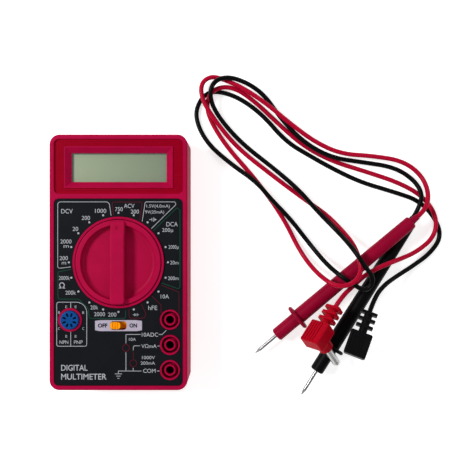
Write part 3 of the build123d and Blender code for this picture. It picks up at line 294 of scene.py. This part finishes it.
finishes = {
    # The shell's grooved field gets painted shade.
    "red_shell": recolour(
        surface("red_shell", RED, 0.45, grain=0.2, depth=0.014, Specular_IOR_Level=0.02), ribbed_field_painted_shade,
    ),
    "red_knob": surface("red_knob", RED, 0.42, grain=0.2, depth=0.014, Specular_IOR_Level=0.04),
    "black_label": surface("black_label", srgb("101217"), 0.6, tint=0.12, grain=0.18),
    "clear_window": surface("clear_window", (0.9, 0.95, 0.9), 0.1, tint=0.01, depth=0.001, Alpha=0.06),
    # The display glass gets painted light across it and a painted shadow at its edges.
    "display_glass": recolour(surface("display_glass", srgb("9AA78A"), 0.2, depth=0.002), display_painted_light),
    "display_backing": surface("display_backing", (0.36, 0.42, 0.30), 0.5),
    "zebra_rubber": recolour(surface("zebra_rubber", (0.75, 0.45, 0.5), 0.6), zebra_lines),
    "white_plastic": surface("white_plastic", (0.8, 0.8, 0.78), 0.45),
    "green_board": recolour(surface("green_board", (0.03, 0.22, 0.09), 0.35, grain=0.4), board_pattern),
    "gold_tracks": surface("gold_tracks", (0.85, 0.62, 0.25), 0.25, Metallic=1.0),
    "black_resin": surface("black_resin", (0.01, 0.01, 0.01), 0.2, grain=1.0, depth=0.05),
    "blue_plastic": surface("blue_plastic", srgb("0A4788"), 0.35, grain=0.25, depth=0.01),
    "tan_resistor": recolour(surface("tan_resistor", (0.62, 0.45, 0.25), 0.4), resistor_bands),
    "orange_capacitor": surface("orange_capacitor", (0.7, 0.25, 0.04), 0.3, grain=0.6),
    "copper_wire": surface("copper_wire", (0.72, 0.32, 0.15), 0.3, Metallic=1.0),
    "fuse_tube": surface("fuse_tube", (0.9, 0.95, 0.95), 0.1, tint=0.02, depth=0.001, Alpha=0.25),
    "bright_metal": surface("bright_metal", (0.7, 0.7, 0.69), 0.22, grain=0.3, Metallic=1.0),
    "screw_steel": surface("screw_steel", (0.55, 0.55, 0.56), 0.35, grain=0.3, Metallic=1.0),
    "spring_steel": surface("spring_steel", (0.6, 0.58, 0.5), 0.3, Metallic=1.0),
    "battery_can": recolour(surface("battery_can", (0.03, 0.03, 0.035), 0.35), battery_print),
    "black_plastic": surface("black_plastic", srgb("08080A"), 0.45, tint=0.12, grain=0.25, depth=0.015),
    "red_wire": surface("red_wire", srgb("AE042C"), 0.32, grain=0.5, depth=0.02),
    "black_wire": surface("black_wire", srgb("060708"), 0.34, grain=0.5, depth=0.02),
    "jack_brass": surface("jack_brass", (0.42, 0.33, 0.17), 0.3, Metallic=1.0),
    "orange_button": surface("orange_button", srgb("FF9D05"), 0.35, grain=0.25, depth=0.01),
    "red_plug_plastic": surface(
        "red_plug_plastic", srgb("AC031C"), 0.42, grain=0.25, depth=0.02, Specular_IOR_Level=0.03,
    ),
    "red_probe_plastic": surface(
        "red_probe_plastic", srgb("8F062C"), 0.4, grain=0.3, depth=0.02, Specular_IOR_Level=0.04,
    ),
    "nickel_plate": surface("nickel_plate", (0.5, 0.5, 0.49), 0.3, grain=0.3, Metallic=1.0),
    "needle_steel": surface("needle_steel", (0.36, 0.36, 0.36), 0.3, grain=0.3, Metallic=1.0),
    "white_print": surface("white_print", srgb("ABAEB4"), 0.5, tint=0.04, mottle=1.5, depth=0.004),
    "green_print": surface("green_print", srgb("0F4A36"), 0.5, tint=0.08, mottle=1.5, depth=0.004),
    "red_print": surface("red_print", srgb("571020"), 0.5, tint=0.08, mottle=1.5, depth=0.004),
    "pale_print": surface("pale_print", srgb("AFA6B7"), 0.5, tint=0.03, mottle=2.5, depth=0.004),
    "dark_print": surface("dark_print", srgb("14152A"), 0.5, tint=0.05, mottle=1.5, depth=0.004),
}

slot_of = {entry["node"]: entry["material_slot"] for entry in frame["record"]["subparts"]}
for node_name, node in frame["nodes"].items():
    material = finishes[slot_of[node_name]]
    if node.data.materials:
        for i in range(len(node.data.materials)):
            node.data.materials[i] = material
    else:
        node.data.materials.append(material)

# ---------------------------------------------------------------- the two cables
# Each route is the one that part.py has, in millimetres, from the probe to the plug.
red_route = [
    (150.9, 23, 11.8), (155.2, 26.7, 12.1), (157.5, 35.5, 9.2), (154.5, 45, 5.4), (145, 52.5, 4.3),
    (129, 55, 4.2), (113, 56, 4.2), (99.5, 62, 4.4), (86.5, 71.5, 5), (73.5, 82.5, 4.8),
    (61.5, 90.5, 4.6), (52, 95, 3.6), (45, 97, 3.6), (39.5, 93, 4.8), (40, 84.5, 5),
    (46.5, 74, 4.2), (58, 60, 1.4), (75, 46.5, 1.4), (93, 33, 1.4), (105.5, 24.5, 1.6),
    (113.5, 15.5, 6.5), (117.5, 9, 14.2), (120, 2, 17.2), (121, -5, 18.8), (116.5, -11, 20.2),
    (109, -12.5, 19.9), (102.5, -9, 16.4), (96.5, -2.5, 6.5), (90.5, 7, 1.9), (84.5, 19.5, 1.3),
    (76.5, 32, 1.3), (66, 45.5, 1.3), (53.5, 59.5, 1.3), (45, 72.5, 1.3), (42, 82, 2),
    (45.5, 90, 4.6), (56, 92, 2.2), (68, 84, 1.3), (81, 71.5, 1.3), (93.5, 60.5, 1.3),
    (108.5, 52.5, 1.3), (126.5, 47, 1.3), (144.5, 41, 1.3), (157, 33.5, 2), (163, 23, 4.5),
    (162, 12.5, 3.6), (152, 4.5, 5), (140, 0.5, 12.2), (130.5, -3, 13.6), (123.5, -7, 13.6),
    (118, -12, 13.7), (111.6, -17.8, 14.6), (107.5, -23.3, 17.6),
]
black_route = [
    (150.9, 22.9, 3.5), (153.6, 27.1, 3.3), (155.5, 35, 5.2), (151, 43, 2.8), (141, 49.5, 1.4),
    (124.5, 52, 1.5), (108, 54, 4), (94, 61.5, 4.3), (82, 74, 2.4), (73, 87.5, 1.4),
    (63, 94, 3), (53, 96, 7), (46, 93, 7.6), (44, 86, 6.6), (47.5, 77, 3),
    (60, 62.5, 1.4), (78, 48.5, 1.8), (90.5, 37.5, 4.2), (101, 25.5, 4.3), (110.5, 15.5, 7),
    (115, 9, 16.2), (118.5, 3.5, 20.4), (122.5, -2.5, 20.4), (126.5, -7.5, 19.4), (126, -12, 18.6),
    (122.5, -14.5, 17.7), (117, -11.5, 17), (111, -7.5, 16.8), (104.5, -1.5, 9.5), (96.5, 9, 2.2),
    (86.5, 22, 2.6), (76.5, 32, 4.2), (68.5, 41.5, 4.2), (55, 51, 2.4), (42, 62.5, 1.3),
    (36, 76, 1.3), (39, 85.5, 1.3), (45.5, 90, 1.3), (58, 87, 1.3), (71.5, 77.5, 1.3),
    (84, 63, 1.3), (96.5, 55.5, 1.3), (109, 48.5, 1.3), (123.5, 41.5, 1.3), (140.5, 36.5, 1.3),
    (154, 32, 1.3), (162.5, 23.5, 1.3), (166.5, 13, 1.3), (160.5, 4, 1.5), (150.5, -3, 2.6),
    (142, -7.5, 6.5), (134, -11.5, 13.5), (127.9, -16.9, 18.2), (124.6, -25, 20),
]
CABLE_DIAMETER = 2.4 * MM


def cable(colour, route):
    """A lead's cable on one smooth line through its route."""
    curve = bpy.data.curves.new(f"{colour}_lead", "CURVE")
    curve.dimensions = "3D"
    spline = curve.splines.new("NURBS")
    spline.points.add(len(route) - 1)
    for point, (x, y, z) in zip(spline.points, route):
        point.co = (x * MM, y * MM, z * MM, 1.0)
    spline.order_u = 3
    spline.use_endpoint_u = True
    curve.resolution_u = 10
    curve.bevel_depth = CABLE_DIAMETER / 2
    curve.bevel_resolution = 6
    curve.use_fill_caps = True
    curve.materials.append(finishes[f"{colour}_wire"])
    piece = bpy.data.objects.new(f"{colour}_lead", curve)
    scene.collection.objects.link(piece)
    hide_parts(f"{colour}_cable")
    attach(piece, "test_leads")


cable("red", red_route)
cable("black", black_route)

# ---------------------------------------------------------------- printed marks on the face
PRINT_BASE = label_high.z - 0.01 * MM
PRINT_TOP = label_high.z + 0.03 * MM
PLATE_TOP = label_high.z + 0.05 * MM
PLATE_PRINT_TOP = label_high.z + 0.08 * MM
STROKE = 0.28           # width of a border or a line, in millimetres, like all the print's sizes
ARC_STEPS = 8           # straight steps in a border's rounded corner
SHARPEST_MITRE = 0.4    # keeps a sharp corner's mitre short


class Print:
    """One colour of ink: flat shapes gathered into one mesh."""

    def __init__(self, name, slot, top=PRINT_TOP, base=PRINT_BASE):
        self.name = name
        self.slot = slot
        self.top = top
        self.base = base
        self.mesh = bmesh.new()

    def patch(self, points):
        """A closed flat shape, from corners in millimetres, anticlockwise."""
        lower = [self.mesh.verts.new((x * MM, y * MM, self.base)) for x, y in points]
        upper = [self.mesh.verts.new((x * MM, y * MM, self.top)) for x, y in points]
        self.mesh.faces.new(upper)
        self.mesh.faces.new(lower[::-1])
        for i in range(len(points)):
            j = (i + 1) % len(points)
            self.mesh.faces.new((lower[i], lower[j], upper[j], upper[i]))

    def dot(self, x, y, radius, sides=24):
        """A round spot."""
        turns = [2 * math.pi * i / sides for i in range(sides)]
        self.patch([(x + radius * math.cos(a), y + radius * math.sin(a)) for a in turns])

    def line(self, points, width=STROKE):
        """An open stroke of even width with mitred corners."""
        path = [Vector(p) for p in points]
        left, right = [], []
        for i, here in enumerate(path):
            ahead = path[i + 1] - here if i < len(path) - 1 else here - path[i - 1]
            behind = here - path[i - 1] if i else ahead
            normal = ahead.normalized() + behind.normalized()
            normal = Vector((-normal.y, normal.x)).normalized()
            reach = width / 2 / max(SHARPEST_MITRE, normal.dot(Vector((-ahead.y, ahead.x)).normalized()))
            left.append(here + normal * reach)
            right.append(here - normal * reach)
        for i in range(len(path) - 1):
            self.patch([tuple(right[i]), tuple(right[i + 1]), tuple(left[i + 1]), tuple(left[i])])

    def outline(self, corners, width=STROKE):
        """A stroke through (x, y, corner radius) points."""
        path = []
        for i, (x, y, radius) in enumerate(corners):
            here = Vector((x, y))
            if radius == 0 or i in (0, len(corners) - 1):
                path.append(here)
                continue
            to_before = (Vector(corners[i - 1][:2]) - here).normalized()
            to_after = (Vector(corners[i + 1][:2]) - here).normalized()
            half = to_before.angle(to_after) / 2
            centre = here + (to_before + to_after).normalized() * radius / math.sin(half)
            first = here + to_before * radius / math.tan(half) - centre
            last = here + to_after * radius / math.tan(half) - centre
            sweep = first.angle_signed(last)
            for step in range(ARC_STEPS + 1):
                turn = -sweep * step / ARC_STEPS
                path.append(centre + Vector((
                    first.x * math.cos(turn) - first.y * math.sin(turn),
                    first.x * math.sin(turn) + first.y * math.cos(turn),
                )))
        self.line([tuple(p) for p in path], width)

    def text(self, words, x_low, x_high, y_middle, height, weight=0.0):
        """Words in a plain sans, fitted between x_low and x_high. weight thickens the strokes."""
        curve = bpy.data.curves.new("words", "FONT")
        curve.body = words
        curve.size = 1.0
        curve.offset = weight
        curve.resolution_u = 4
        curve.extrude = 0.5
        holder = bpy.data.objects.new("words", curve)
        scene.collection.objects.link(holder)
        bpy.context.view_layer.update()
        letters = bpy.data.meshes.new_from_object(holder.evaluated_get(bpy.context.evaluated_depsgraph_get()))
        xs = [v.co.x for v in letters.vertices]
        ys = [v.co.y for v in letters.vertices]
        x_scale = (x_high - x_low) / (max(xs) - min(xs))
        y_scale = height / (max(ys) - min(ys))
        for v in letters.vertices:
            v.co = (
                (x_low + (v.co.x - min(xs)) * x_scale) * MM,
                (y_middle - height / 2 + (v.co.y - min(ys)) * y_scale) * MM,
                self.top if v.co.z > 0 else self.base,
            )
        self.mesh.from_mesh(letters)
        bpy.data.objects.remove(holder)
        bpy.data.curves.remove(curve)
        bpy.data.meshes.remove(letters)

    def finish(self):
        """Makes the ink one piece that rides on the housing."""
        bmesh.ops.remove_doubles(self.mesh, verts=self.mesh.verts, dist=1e-7)
        bmesh.ops.recalc_face_normals(self.mesh, faces=self.mesh.faces)
        data = bpy.data.meshes.new(self.name)
        self.mesh.to_mesh(data)
        self.mesh.free()
        data.materials.append(finishes[self.slot])
        piece = bpy.data.objects.new(self.name, data)
        scene.collection.objects.link(piece)
        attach(piece, "housing")
        return piece


white = Print("print_white", "white_print")
green = Print("print_green", "green_print")
red = Print("print_red", "red_print")

# Dots round the selector, one for each position
DOT_RING = 24.4
DOT_RADIUS = 0.5
POSITIONS = 20
for i in range(POSITIONS):
    turn = math.radians(90 - 360 / POSITIONS * i)
    white.dot(DOT_RING * math.cos(turn), DOT_RING * math.sin(turn), DOT_RADIUS)

# Range numbers: words, left, right, middle height, letter height
for words, x_low, x_high, y, height in (
    ("750", -1.6, 2.1, 26.2, 2.0), ("200", 6.1, 10.1, 25.0, 2.0), ("ACV", 2.7, 7.9, 27.8, 2.1),
    ("1.5V(4.0mA)", 13.8, 25.3, 27.5, 2.0), ("9V(25mA)", 13.2, 22.5, 24.6, 2.0),
    ("DCA", 23.6, 29.2, 18.8, 2.2), ("200µ", 21.5, 26.9, 15.7, 2.3), ("2000µ", 24.7, 29.6, 7.4, 2.2),
    ("20m", 25.5, 29.6, -0.1, 1.8), ("200m", 24.4, 29.6, -7.8, 1.8), ("10A", 20.8, 24.9, -16.8, 2.0),
    ("hFE", 14.7, 19.1, -22.4, 2.1), ("200", -5.1, -1.0, -25.7, 2.0), ("2000", -12.0, -6.6, -25.5, 2.0),
    ("20k", -13.8, -10.0, -22.2, 2.0), ("200k", -26.1, -20.9, -14.9, 2.0), ("2000k", -29.3, -24.0, -7.7, 1.9),
    ("200", -29.0, -24.9, 2.1, 2.0), ("m", -27.9, -25.8, -0.4, 1.2), ("2000", -28.6, -23.1, 10.3, 2.0),
    ("m", -27.0, -24.4, 7.8, 1.2), ("20", -22.6, -19.8, 16.5, 2.0), ("200", -18.1, -14.0, 21.9, 2.0),
    ("1000", -11.5, -6.0, 25.4, 2.0), ("DCV", -28.2, -22.5, 25.2, 2.2),
    ("10ADC", 11.5, 19.6, -35.6, 2.0), ("VΩmA", 11.3, 18.8, -41.2, 1.9), ("COM", 12.2, 18.3, -53.4, 2.0),
    ("10A", 5.2, 8.6, -37.9, 1.5), ("1000V", 11.6, 18.0, -46.9, 1.6), ("200mA", 11.0, 18.0, -49.6, 1.6),
    ("NPN", -29.0, -24.7, -39.3, 1.7), ("PNP", -21.9, -17.6, -39.3, 1.7),
    ("E", -26.1, -25.2, -21.9, 1.2), ("E", -21.5, -20.6, -21.9, 1.2), ("B", -29.7, -28.8, -24.7, 1.2),
    ("B", -17.8, -16.9, -24.7, 1.2), ("C", -29.7, -28.8, -32.6, 1.2), ("C", -17.8, -16.9, -32.6, 1.2),
    ("E", -26.1, -25.2, -36.4, 1.2), ("E", -21.5, -20.6, -36.4, 1.2),
):
    white.text(words, x_low, x_high, y, height)
white.text("DIGITAL", -28.2, -15.2, -51.9, 2.9, weight=0.008)
white.text("MULTIMETER", -28.2, -5.9, -56.3, 2.9, weight=0.008)

# Ohm sign: a broken ring with two feet
OHM_X, OHM_Y, OHM_RADIUS = -27.8, -11.2, 1.15
broken_ring = [math.radians(a) for a in range(-55, 236, 10)]
white.line(
    [(OHM_X + OHM_RADIUS * math.cos(a), OHM_Y + OHM_RADIUS * math.sin(a)) for a in broken_ring], 0.42,
)
white.line([(-29.3, -12.6), (-28.3, -12.6), (-28.4, -12.0)], 0.4)
white.line([(-26.3, -12.6), (-27.3, -12.6), (-27.2, -12.0)], 0.4)

# Battery and diode signs
white.line([(15.2, 21.1), (16.4, 21.1)])
white.line([(16.5, 20.3), (16.5, 21.9)])
white.line([(17.4, 20.0), (17.4, 22.2)])
white.patch([(17.8, 20.5), (18.9, 21.1), (17.8, 21.7)])
white.line([(7.1, -25.8), (10.1, -25.8)])
white.patch([(7.9, -26.5), (9.1, -25.8), (7.9, -25.1)])
white.line([(9.2, -26.5), (9.2, -25.1)])

# Borders of the ranges
white.outline([(-3.6, 23.0, 0), (-4.6, 29.8, 1.8), (-29.9, 29.8, 1.4), (-29.9, -3.0, 1.0), (-23.4, -2.2, 0)])
white.outline([(11.7, 20.1, 0), (13.2, 29.8, 0.9), (29.7, 29.8, 1.0), (16.2, 16.6, 0)])
red.outline([(-2.4, 23.2, 0), (-3.2, 29.7, 0.9), (11.8, 29.7, 0.9), (10.5, 20.8, 0)])
green.outline([(17.2, 15.6, 0), (28.9, 27.0, 0.5), (30.3, 25.6, 0.6), (30.3, -13.3, 1.0), (21.3, -10.1, 0)])
red.outline([(21.1, -11.2, 0), (29.8, -14.6, 0.8), (29.8, -25.6, 0)])
red.outline([(16.4, -16.6, 0), (21.0, -20.9, 0.8), (21.0, -25.2, 0)])
red.outline([(5.2, -23.0, 0), (5.2, -27.5, 1.2), (12.6, -27.5, 1.2), (13.6, -25.4, 0.8), (11.2, -20.4, 0)])
green.outline([
    (-23.3, -3.4, 0), (-29.8, -4.7, 0.9), (-29.8, -18.1, 1.2), (-19.4, -18.1, 2.4), (-15.0, -22.6, 1.6),
    (-14.3, -27.6, 1.0), (3.5, -27.6, 0.9), (3.5, -23.7, 0),
])
white.outline([
    (-23.5, -41.3, 0), (-30.4, -41.3, 1.0), (-30.4, -19.6, 1.0), (-15.6, -19.6, 5.2), (-15.6, -41.3, 1.0),
    (-23.5, -41.3, 0),
])
white.line([(-23.5, -19.7), (-23.5, -22.6)])
white.line([(-23.5, -34.0), (-23.5, -41.2)])

# Plain lines from the jacks' names, with the earth sign
white.line([(19.9, -35.5), (21.5, -35.5), (23.6, -33.5)])
white.line([(19.2, -41.2), (20.3, -41.2)])
white.line([(18.9, -53.5), (20.3, -53.5)])
white.line([(10.9, -35.5), (3.7, -35.5), (3.7, -39.9)])
white.line([(3.7, -44.3), (3.7, -53.4)])
white.outline([(10.6, -41.1, 0), (7.4, -41.1, 0.7), (7.3, -43.3, 0)])
white.line([(7.3, -52.0), (7.3, -53.4)])
white.line([(11.3, -53.5), (0.0, -53.5), (0.0, -54.9)])
white.line([(-1.75, -54.9), (1.75, -54.9)])
white.line([(-1.1, -56.0), (1.1, -56.0)])
white.line([(-0.5, -57.1), (0.5, -57.1)])
red.line([(7.3, -43.9), (7.3, -47.4)])

# Plain rings on the two lines
SIGN_RADIUS = 1.7
full_ring = [math.radians(a) for a in range(0, 361, 15)]
for x, y in ((3.7, -42.1), (7.3, -49.7)):
    red.line([(x + SIGN_RADIUS * math.cos(a), y + SIGN_RADIUS * math.sin(a)) for a in full_ring], 0.3)

# Pale plate of the power switch, open round its slot
slot_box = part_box("slider_button")
slot_y = (slot_box[0].y + slot_box[1].y) / 2 / MM
PLATE_LEFT, PLATE_RIGHT, PLATE_LOW, PLATE_HIGH = 11.5, 11.6, 2.75, 2.65    # reaches from the slot's middle
SLOT_HALF, SLOT_RISE, SLOT_CORNER = 4.1, 2.15, 1.7
PLATE_STEPS = 64


def slot_edge(aim):
    """The rounded slot's edge in a direction from its middle."""
    corner = Vector((
        math.copysign(SLOT_HALF - SLOT_CORNER, aim.x), math.copysign(SLOT_RISE - SLOT_CORNER, aim.y),
    ))
    return corner + aim * SLOT_CORNER


def plate_edge(aim):
    """The plate's straight edge in a direction from the same middle."""
    reach_x = (PLATE_RIGHT if aim.x > 0 else PLATE_LEFT) / max(1e-6, abs(aim.x))
    reach_y = (PLATE_HIGH if aim.y > 0 else PLATE_LOW) / max(1e-6, abs(aim.y))
    return aim * min(reach_x, reach_y)


plate = Print("print_switch_plate", "pale_print", PLATE_TOP)
plate_turns = [2 * math.pi * i / PLATE_STEPS for i in range(PLATE_STEPS)]
plate_aims = [Vector((math.cos(a), math.sin(a))) for a in plate_turns]
for here, ahead in zip(plate_aims, plate_aims[1:] + plate_aims[:1]):
    corners = [slot_edge(ahead), slot_edge(here), plate_edge(here), plate_edge(ahead)]
    plate.patch([(corner.x, slot_y + corner.y) for corner in corners])
words_dark = Print("print_switch_words", "dark_print", PLATE_PRINT_TOP)
words_dark.text("OFF", -10.1, -5.4, slot_y, 2.1, weight=0.045)
words_dark.text("ON", 5.4, 9.2, slot_y, 2.1, weight=0.045)

for sheet_of_ink in (white, green, red, plate):
    sheet_of_ink.finish()
words_dark.finish()

# ---------------------------------------------------------------- floor
FLOOR_REACH = 3.0
floor_mesh = bpy.data.meshes.new("floor")
floor_corners = [(x * FLOOR_REACH, y * FLOOR_REACH, 0) for x, y in ((-1, -1), (1, -1), (1, 1), (-1, 1))]
floor_mesh.from_pydata(floor_corners, [], [(0, 1, 2, 3)])
floor = bpy.data.objects.new("floor", floor_mesh)
floor.data.materials.append(surface(
    "floor", (0.72, 0.72, 0.72), 0.9, tint=0.0, depth=0.0, Specular_IOR_Level=0.0,
    Emission_Color=(1.0, 1.0, 1.0, 1.0), Emission_Strength=0.66,
))
scene.collection.objects.link(floor)
